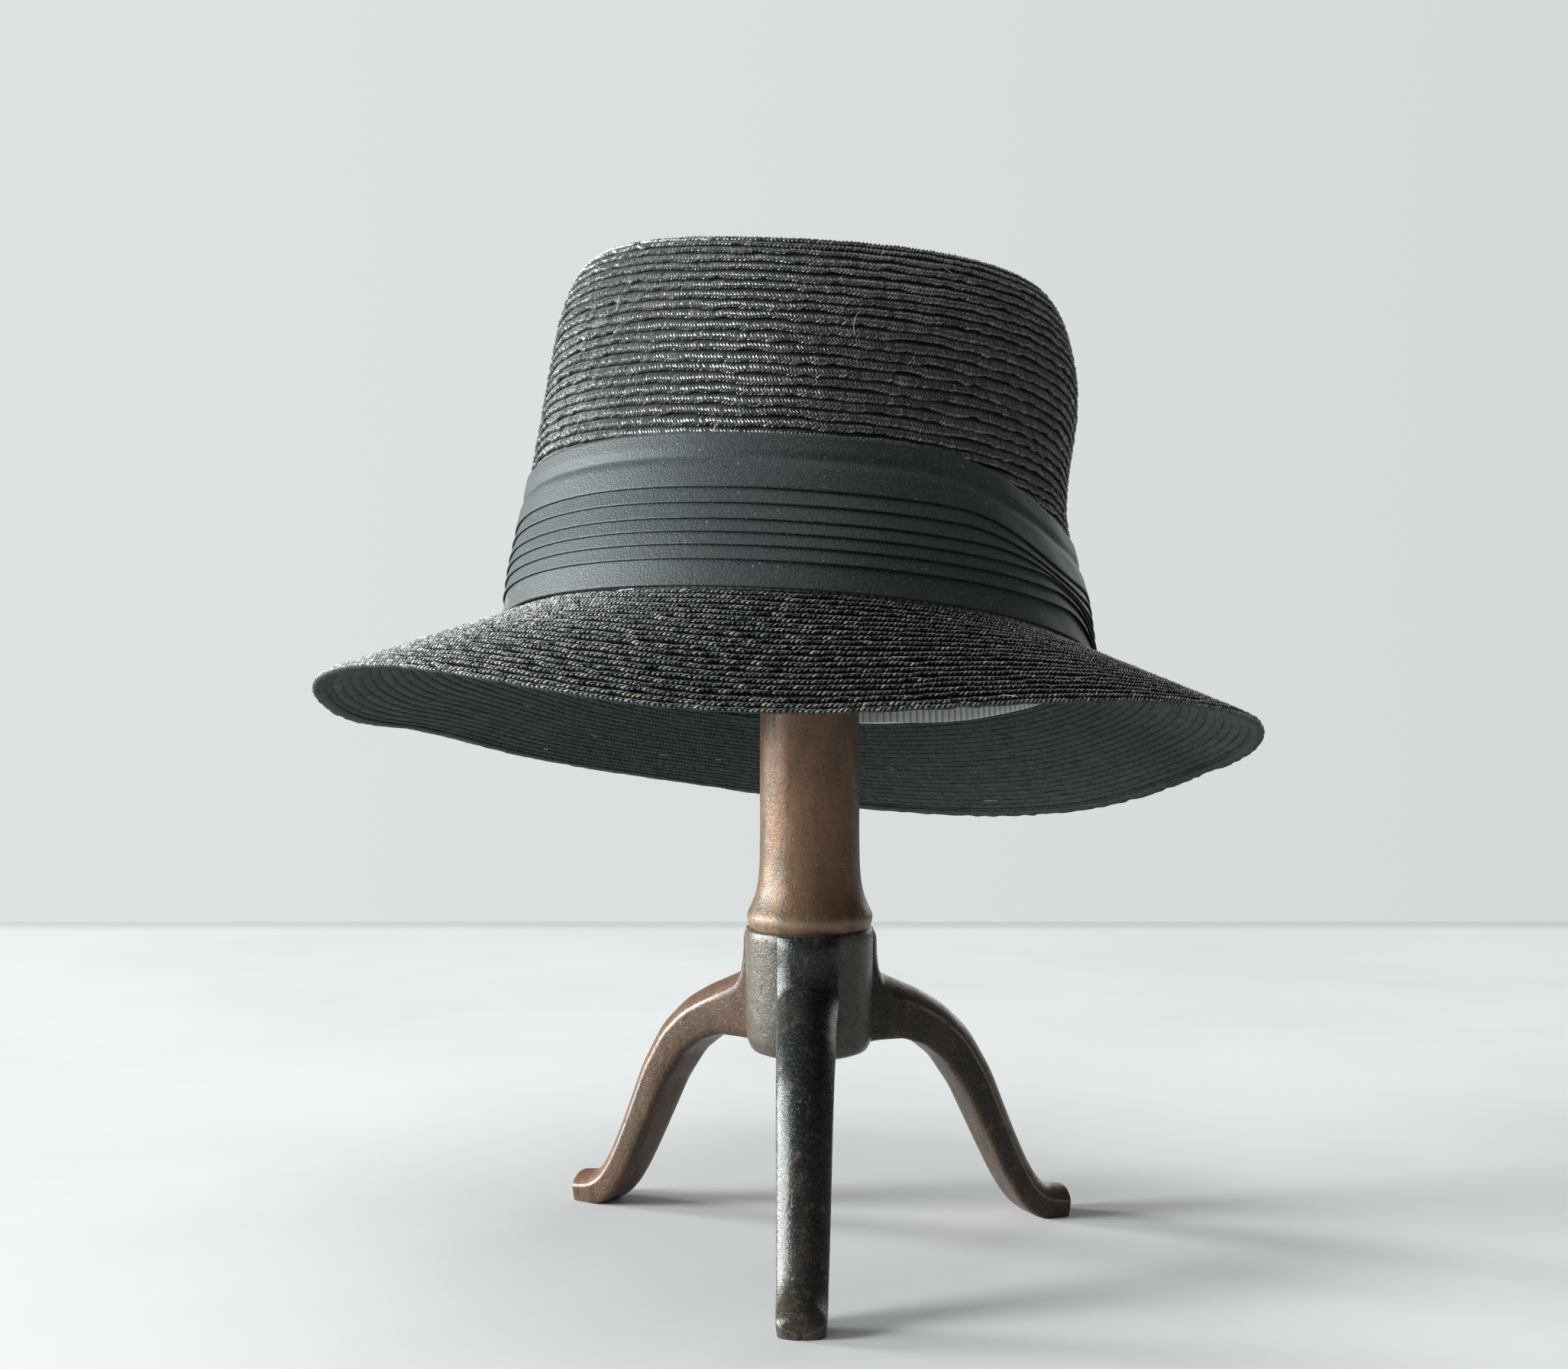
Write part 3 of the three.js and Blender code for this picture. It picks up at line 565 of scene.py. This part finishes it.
def brim_sheet(angle, row):
    """Upper face of the brim at an angle round it and a row counted from the head line: a straight slope outwards,
    steeper at the front, with two slow waves round the brim and a lift behind each side."""
    part = np.clip(row, -0.9, None) / BRIM_ROWS
    facing = np.maximum(0, np.cos(angle - np.radians(FRONT_DIP_AT)))
    slope = BRIM_SLOPE + FRONT_DIP * facing**FRONT_DIP_NARROWNESS
    for count, swing, place in BRIM_WAVES:
        slope = slope + swing * np.cos(count * (angle - np.radians(place)))
    for place, swing, spread in BRIM_LIFTS:
        slope = slope - swing * np.exp(-((turn_from(place, angle) / spread) ** 2))
    slope = np.radians(slope)
    ends = -BRIM_END_EXTRA * np.cos(2 * angle) - BRIM_FRONT_EXTRA * np.sin(angle)
    along = (BRIM_WIDTH + ends + BRIM_RIGHT_EXTRA * (1 - np.cos(angle)) / 2) * part
    point = oval(angle, HEAD_HALF, HEAD_LEAN, 0.0)
    heading = np.stack([np.cos(angle) * (HEAD_HALF + LENGTH_EXTRA), np.sin(angle) * HEAD_HALF], -1)
    heading /= np.linalg.norm(heading, axis=-1, keepdims=True)
    flat = along * np.cos(slope)
    place = point[..., :2] + heading * flat[..., None]
    return np.concatenate([place, (point[..., 2] - HEAD_GAP - along * np.sin(slope))[..., None]], -1)


# The brim's straw is the crown's with paler but more even painted highlights, a wider painted shade under each lap,
# weaker painted highlights beside the cord and a weaker lacquer, set for how the windows fall on it.
brim_straw = straw(
    "brim_straw", grey=(0.40, 0.42, 0.415, 1), brown=(0.54, 0.46, 0.39, 1),
    lap=0.50, field=0.36, even=0.62, lacquer=0.06,
)
brim_pieces = [
    braid("brim_first_rows", brim_sheet, 0, FIRST_ROWS, BRIM_STRAND, seed=41),
    braid("brim_second_rows", brim_sheet, FIRST_ROWS, SECOND_ROWS, BRIM_STRAND, seed=42),
    braid("brim_third_rows", brim_sheet, SECOND_ROWS, THIRD_ROWS, BRIM_STRAND, seed=43),
    braid("brim_edge_rows", brim_sheet, THIRD_ROWS, BRIM_ROWS, BRIM_STRAND, seed=44, level_end=True),
]
for piece in brim_pieces:
    piece.data.materials.append(brim_straw)
    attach(piece, "root")
    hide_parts("brim")

# Loose straw: a few fibres that have come away from the plait on the crown and at the brim's edge.
# A pale chip of bare straw lies against the foot of the band, on the brim.
LOOSE = {
    "crown_loose_end": (crown_sheet, -101, 46.2, -62, 6.5, 0.9, 0.30),
    "crown_loose_hair": (crown_sheet, -76.5, 35.6, -88, 6.0, 0.5, 0.14),
    "crown_loose_hair_left": (crown_sheet, -128, 33.2, -70, 4.5, 0.8, 0.14),
    "rim_loose_hair": (crown_sheet, -58, 27.4, 60, 3.6, 1.2, 0.14),
    "brim_loose_chip": (brim_sheet, -116, 0.45, 4, 4.8, 0.3, 0.45),
    "brim_loose_hair": (brim_sheet, -74, 12.4, 30, 4.2, 0.7, 0.13),
    "edge_loose_hair_left": (brim_sheet, -118, 20.2, 55, 3.4, 0.5, 0.15),
    "edge_loose_hair": (brim_sheet, -96, 20.3, 120, 3.0, 0.4, 0.15),
    "edge_loose_hair_right": (brim_sheet, -66, 20.2, 48, 3.6, 0.5, 0.15),
}
HAIR_RINGS, HAIR_SIDES, HAIR_OFF, HAIR_BEND, HAIR_FLATNESS, HAIR_TAPER = 10, 8, 0.35, 0.14, 0.6, 0.65


def fibre(name, sheet, degrees, row, heading, length, lift, girth):
    """Thin tapering tube that leaves a sheet at one place: its line runs along the sheet's tangent, turned by the
    heading from round the hat towards the next row, rises off the sheet with the square of the distance, and bends
    a little sideways. Sizes are in millimetres."""
    angle = np.radians(degrees)
    start = sheet(angle, np.array(row))
    round_way = sheet(angle + 0.01, np.array(row)) - start
    out_way = sheet(angle, np.array(row + 0.2)) - start
    up = np.cross(out_way, round_way)
    round_way, out_way, up = (way / np.linalg.norm(way) for way in (round_way, out_way, up))
    ahead = round_way * np.cos(np.radians(heading)) + out_way * np.sin(np.radians(heading))
    aside = np.cross(up, ahead)
    far = np.linspace(0, 1, HAIR_RINGS)[:, None]
    line = start + ahead * length * far + up * (HAIR_OFF + lift * far**2)
    line = line + aside * HAIR_BEND * length * np.sin(2.6 * far)
    round_line = np.linspace(0, 2 * np.pi, HAIR_SIDES, endpoint=False)[:, None]
    ring = girth * (aside * np.cos(round_line) + HAIR_FLATNESS * up * np.sin(round_line))
    points = line[:, None] + ring * (1 - HAIR_TAPER * far[:, None])
    return skin(name, on_head(points), length * far[:, 0], np.linspace(0, 1, HAIR_SIDES + 1))


bare_straw, tree, shader = finish("bare_straw", Roughness=0.4)
place = put(tree, "ShaderNodeTexCoord").outputs["Object"]
worn = fade(tree, cloud(tree, place, (700, 700, 700), 3), 0.35, 0.6)
tree.links.new(tint(tree, worn, (0.26, 0.23, 0.18, 1), (0.50, 0.45, 0.34, 1)), shader.inputs["Base Color"])
for name, values in LOOSE.items():
    piece = fibre(name, *values)
    piece.data.materials.append(bare_straw)
    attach(piece, "root")

# Sweatband: a pale silver-grey ribbed ribbon, sewn round the inside of the head opening.
# Its lower edge hangs a little below the head line.
RIBBON_BOTTOM, RIBBON_ROUND, RIBBON_RIB, RIB_POINTS, RIB_DEEP = -1.4, 560, 2.6, 6, 0.16
RIBBON_THREAD, WALL_FROM = 0.42, 95
wall_rows = crown_profile[crown_path > WALL_FROM]
wall_height, wall_half, wall_lean = (column[::-1] for column in wall_rows[:, [1, 0, 2]].T)


def wall(angle, height, offset):
    """Point off the outer face of the crown's side: the oval at that height, grown by the offset."""
    half, lean = (np.interp(height, wall_height, column) for column in (wall_half, wall_lean))
    return oval(angle, half + offset, lean, height)


ribs = round(RIBBON_ROUND / RIBBON_RIB)
round_ribbon = np.linspace(-np.pi, np.pi, ribs * RIB_POINTS, endpoint=False)[:, None]
rib = RIB_DEEP * np.cos(round_ribbon * ribs)
rise = np.array([0.0, 0.35, 2.0, 5.0, 8.5, 12.5, 16.5, 20.5, 22.8, 23.4, 23.2, 15.0, 8.0, 1.0])
inset = np.array([-3.05, -3.35, -3.40, -3.42, -3.42, -3.42, -3.42, -3.40, -3.36, -3.2, -2.75, -2.7, -2.7, -2.7])
facing = np.array([0.6, 1, 1, 1, 1, 1, 1, 1, 1, 0.5, 0, 0, 0, 0])
sag = 0.25 * np.sin(5 * round_ribbon + 1) + 0.18 * np.sin(11 * round_ribbon)
taken_up = 2.2 * smooth(-np.cos(round_ribbon), -0.15, 0.5)
points = wall(round_ribbon, RIBBON_BOTTOM + rise + (sag + taken_up) * (1 - rise / 24), inset - rib * facing)
inner_ribbon = skin(
    "inner_ribbon", on_head(points), np.linspace(0, RIBBON_ROUND, ribs * RIB_POINTS + 1), np.append(rise, 0),
    joined=True,
)
ribbon_cloth, tree, shader = finish("ribbon_cloth", Sheen_Weight=0.25)
coordinates = put(tree, "ShaderNodeTexCoord").outputs
lay = put(tree, "ShaderNodeSeparateXYZ", {0: coordinates["UV"]}).outputs
rib_wave = work(tree, "COSINE", work(tree, "MULTIPLY", lay[0], 2 * np.pi / (RIBBON_ROUND / ribs)))
thread = work(tree, "SINE", work(tree, "MULTIPLY", lay[1], 2 * np.pi / RIBBON_THREAD))
soil = cloud(tree, coordinates["Object"], (60, 60, 60), 5)
pale = tint(tree, fade(tree, soil, 0.35, 0.7), (0.50, 0.51, 0.52, 1), (0.36, 0.35, 0.33, 1))
pale = tint(tree, fade(tree, rib_wave, 0.1, -0.9), pale, (0.20, 0.21, 0.22, 1))
tree.links.new(pale, shader.inputs["Base Color"])
tree.links.new(work(tree, "MULTIPLY_ADD", thread, 0.06, 0.55), shader.inputs["Roughness"])
relief = put(tree, "ShaderNodeBump", {"Height": thread, "Strength": 0.35, "Distance": 0.0001})
tree.links.new(relief.outputs[0], shader.inputs["Normal"])
inner_ribbon.data.materials.append(ribbon_cloth)
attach(inner_ribbon, "root")
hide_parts("sweatband")

# Hatband: one length of matt charcoal crepe laid round the crown in six flat tucks under a plain top.
# The tucks lap downwards, and all of them are drawn together low on the wearer's left side and tacked there.
GATHER_AT, BAND_SIDE_DROP = 4, 0.09
BAND_LINES = np.array([
    (0.3, 0.3, 40, 20), (8.1, 0.8, 30, 6), (12.3, 4.8, 34, 6), (16.1, 8.6, 40, 8), (20.0, 12.0, 52, 14),
    (24.8, 15.2, 58, 20), (29.5, 18.4, 58, 24), (38.8, 27.0, 64, 18), (46.2, 33.6, 64, 16),
])
TOP_FOLD, CREASE, TOP_EDGE = 6, 7, 8
TUCK_LOW, TUCK_HIGH, TUCK_DEEP, TUCK_SHARE = 0.95, 1.75, 1.0, 0.24
SCUFF_AT, SCUFF_SPREAD, SCUFF_HEIGHT, SCUFF_HALF = -160, 5, 3.6, 2.4
BAND_POINTS, BAND_ROUND, BAND_FACE, BAND_BACK = 780, 560, 0.6, 0.42
FOLD_SHARES, TOP_SHARES = (0.06, 0.16, 0.3, 0.45, 0.6, 0.75, 0.88, 1.0), np.linspace(0.03, 1, 22)
bearing = np.linspace(-np.pi, np.pi, BAND_POINTS, endpoint=False)
away = np.abs(turn_from(GATHER_AT, bearing))
lines = []
for plain, gathered, start, end in BAND_LINES:
    drawn = 1 - smooth(away, end, start)
    level = plain * (1 - BAND_SIDE_DROP * np.maximum(0, -np.cos(bearing)) ** 2)
    lines.append(level + (gathered - level) * drawn)
pulled = 1 - smooth(away, 8, 44)
low, high = TUCK_LOW + 0.2 * pulled, TUCK_HIGH + 0.5 * pulled
tuck = [np.minimum(TUCK_DEEP, TUCK_SHARE * (upper - lower)) for lower, upper in zip(lines, lines[1:])]
flat = 0 * low
across = [(lines[0] + 0.05, 0.5 + flat), (lines[0] - 0.05, 1.0 + flat), (lines[0] + 0.12, 1.45 + flat)]
for fold in range(TOP_FOLD + 1):
    bottom = lines[fold]
    if fold:
        lip = [(tuck[fold], 0.12), (0.45 * tuck[fold], 0.22), (0.04, 0.42), (-0.10, 0.70), (0.05, 0.93)]
        across += [(bottom + step, low + (high - low) * share) for step, share in lip]
    top = lines[fold + 1] + tuck[fold + 1] if fold < TOP_FOLD else lines[TOP_EDGE] - 0.25
    full = high if fold else 1.5 + flat
    lowest = low if fold < TOP_FOLD else 1.25 + flat
    for share in FOLD_SHARES if fold < TOP_FOLD else TOP_SHARES:
        height = bottom + (top - bottom) * share
        crease = 0.75 * np.exp(-(((height - lines[CREASE]) / 1.5) ** 2)) if fold == TOP_FOLD else 0
        across.append((height, lowest + (full - lowest) * (1 - share) ** 1.25 - crease))
across += [(lines[TOP_EDGE], 1.0 + flat), (lines[TOP_EDGE] - 0.1, 0.55 + flat)]
across += [
    (lines[0] + (lines[TOP_EDGE] - lines[0]) * share, BAND_BACK + flat) for share in (0.85, 0.6, 0.4, 0.2, 0.04)
]
height, offset = (np.stack(column, -1) for column in zip(*across))
round_band = bearing[:, None]
loose = np.sin(7 * round_band + 0.11 * height) + np.sin(13 * round_band - 0.17 * height + 2)
drag = np.sin(31 * round_band + 0.42 * height + 1) * np.exp(-((away[:, None] - 30) / 26) ** 2)
face = offset > BAND_FACE
offset = offset + (0.05 * loose + 0.07 * drag) * face
laid = np.append(0, np.cumsum(np.abs(np.diff(height.mean(0))) + np.abs(np.diff(offset.mean(0)))))
face = offset > BAND_FACE
scuffed = (turn_from(SCUFF_AT, round_band) / SCUFF_SPREAD) ** 2 + ((height - SCUFF_HEIGHT) / SCUFF_HALF) ** 2
crepe_band = skin(
    "crepe_band", on_head(wall(round_band, height, offset)), np.linspace(0, BAND_ROUND, BAND_POINTS + 1),
    np.append(laid, laid[-1]), joined=True, scuff=np.exp(-scuffed) * face,
)
crepe, tree, shader = finish("crepe", Sheen_Weight=0.03, Sheen_Roughness=0.4, Specular_IOR_Level=0.45)
place = put(tree, "ShaderNodeTexCoord").outputs["Object"]
pebble = cloud(tree, place, (1900, 1900, 1900), 2, 0.6)
dust = cloud(tree, place, (900, 900, 900), 2)
bloom = cloud(tree, place, (38, 38, 60), 4)
cloth = tint(tree, fade(tree, bloom, 0.3, 0.7), (0.0065, 0.0095, 0.0105, 1), (0.0095, 0.0135, 0.0145, 1))
cloth = tint(tree, fade(tree, pebble, 0.42, 0.66), cloth, (0.029, 0.041, 0.045, 1))
cloth = tint(tree, work(tree, "MULTIPLY", fade(tree, dust, 0.70, 0.76), 0.6), cloth, (0.30, 0.31, 0.31, 1))
scuff = put(tree, "ShaderNodeAttribute", attribute_name="scuff").outputs["Fac"]
scuff = work(tree, "MULTIPLY", scuff, fade(tree, cloud(tree, place, (520, 520, 520), 3), 0.50, 0.60))
cloth = tint(tree, scuff, cloth, (0.30, 0.28, 0.23, 1))
tree.links.new(cloth, shader.inputs["Base Color"])
tree.links.new(work(tree, "MULTIPLY_ADD", pebble, 0.25, 0.45), shader.inputs["Roughness"])
relief = put(tree, "ShaderNodeBump", {"Height": pebble, "Strength": 0.8, "Distance": 0.0003})
tree.links.new(relief.outputs[0], shader.inputs["Normal"])
crepe_band.data.materials.append(crepe)
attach(crepe_band, "root")
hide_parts("hatband")

# Table, light and camera: a pale table that ends in front of a pale wall. The wall as the camera sees it is painted
# brighter towards the left, as if lit from the windows, and a darker strip along the table's back edge is painted
# shade. Two windows light it from the left, with a weak light off the wall behind and another overhead. The camera
# has the photograph's viewpoint, level with the brim.
TABLE_BACK, TABLE_FRONT, TABLE_HALF = 0.689, -1.6, 1.5
TABLE_PALE, TABLE_HAZE, TABLE_EDGE = (0.75, 0.74, 0.74, 1), (0.69, 0.69, 0.69, 1), (0.55, 0.58, 0.58, 1)
mesh = bpy.data.meshes.new("table")
corners = [
    (-TABLE_HALF, TABLE_FRONT, 0), (TABLE_HALF, TABLE_FRONT, 0),
    (TABLE_HALF, TABLE_BACK, 0), (-TABLE_HALF, TABLE_BACK, 0),
]
mesh.from_pydata(corners, [], [(0, 1, 2, 3)])
table = bpy.data.objects.new("table", mesh)
bpy.context.scene.collection.objects.link(table)
table_top, tree, shader = finish("table_top", Roughness=0.7, Specular_IOR_Level=0.1)
place = put(tree, "ShaderNodeTexCoord").outputs["Object"]
haze = cloud(tree, place, (6, 6, 6), 5)
pale = tint(tree, fade(tree, haze, 0.3, 0.75), TABLE_PALE, TABLE_HAZE)
depth = put(tree, "ShaderNodeSeparateXYZ", {0: place}).outputs[1]
# Painted shade: a darker strip along the table's back edge, where it meets the wall.
back = fade(tree, depth, TABLE_BACK - 0.04, TABLE_BACK - 0.01)
tree.links.new(tint(tree, back, pale, TABLE_EDGE), shader.inputs["Base Color"])
table.data.materials.append(table_top)
world = bpy.data.worlds.new("studio")
bpy.context.scene.world = world
world.use_nodes = True
tree = world.node_tree
toward = put(tree, "ShaderNodeSeparateXYZ", {0: put(tree, "ShaderNodeTexCoord").outputs["Generated"]}).outputs
glow = work(tree, "MULTIPLY_ADD", toward[0], -0.06, 0.22)
glow = work(tree, "MULTIPLY_ADD", toward[1], 0.08, glow)
seen = put(tree, "ShaderNodeLightPath").outputs["Is Camera Ray"]
# The wall as the camera sees it is painted brighter towards the left, as if lit from the windows there.
wall_seen = work(tree, "MULTIPLY_ADD", toward[0], -0.12, 0.73)
wall_light = put(tree, "ShaderNodeMix", {0: seen, 2: glow, 3: wall_seen}).outputs[0]
ground = tree.nodes["Background"]
ground.inputs["Color"].default_value = (0.97, 1.0, 1.0, 1)
tree.links.new(wall_light, ground.inputs["Strength"])
LIGHTS = {
    "left_window": ((-5.8, 2.0, 0.9), (1.28, 1.8), 550.0),
    "left_front_window": ((-5.08, -0.96, 1.3), (1.6, 2.6), 550.0),
    "right_wall": ((2.2, 4.6, 1.2), (2.5, 2.0), 45.0),
    "overhead": ((-0.20, -0.35, 1.5), (1.2, 1.2), 9.5),
}
LIGHT_COLOUR, LIGHT_AIM = (0.95, 1.0, 1.0), np.array([0, 0, 0.17])
for name, (place, size, power) in LIGHTS.items():
    lamp = bpy.data.lights.new(name, "AREA")
    lamp.shape = "RECTANGLE"
    lamp.size, lamp.size_y = size
    lamp.energy = power
    lamp.color = LIGHT_COLOUR
    light = bpy.data.objects.new(name, lamp)
    light.location = place
    aim = LIGHT_AIM - np.array(place)
    light.rotation_euler = (np.arccos(-aim[2] / np.linalg.norm(aim)), 0, np.arctan2(aim[1], aim[0]) - np.pi / 2)
    bpy.context.scene.collection.objects.link(light)
SENSOR_WIDTH, LENS_LENGTH, CAMERA_AT, CAMERA_DIP = 36.0, 52.886, (-0.0020908, -0.6690207, 0.195), 2.298
lens = bpy.data.cameras.new("viewpoint")
lens.sensor_width = SENSOR_WIDTH
lens.lens = LENS_LENGTH
camera = bpy.data.objects.new("viewpoint", lens)
camera.location = CAMERA_AT
camera.rotation_euler = (np.radians(90 - CAMERA_DIP), 0, 0)
bpy.context.scene.collection.objects.link(camera)
bpy.context.scene.camera = camera
bpy.context.scene.view_settings.view_transform = "Standard"

bpy.context.view_layer.update()
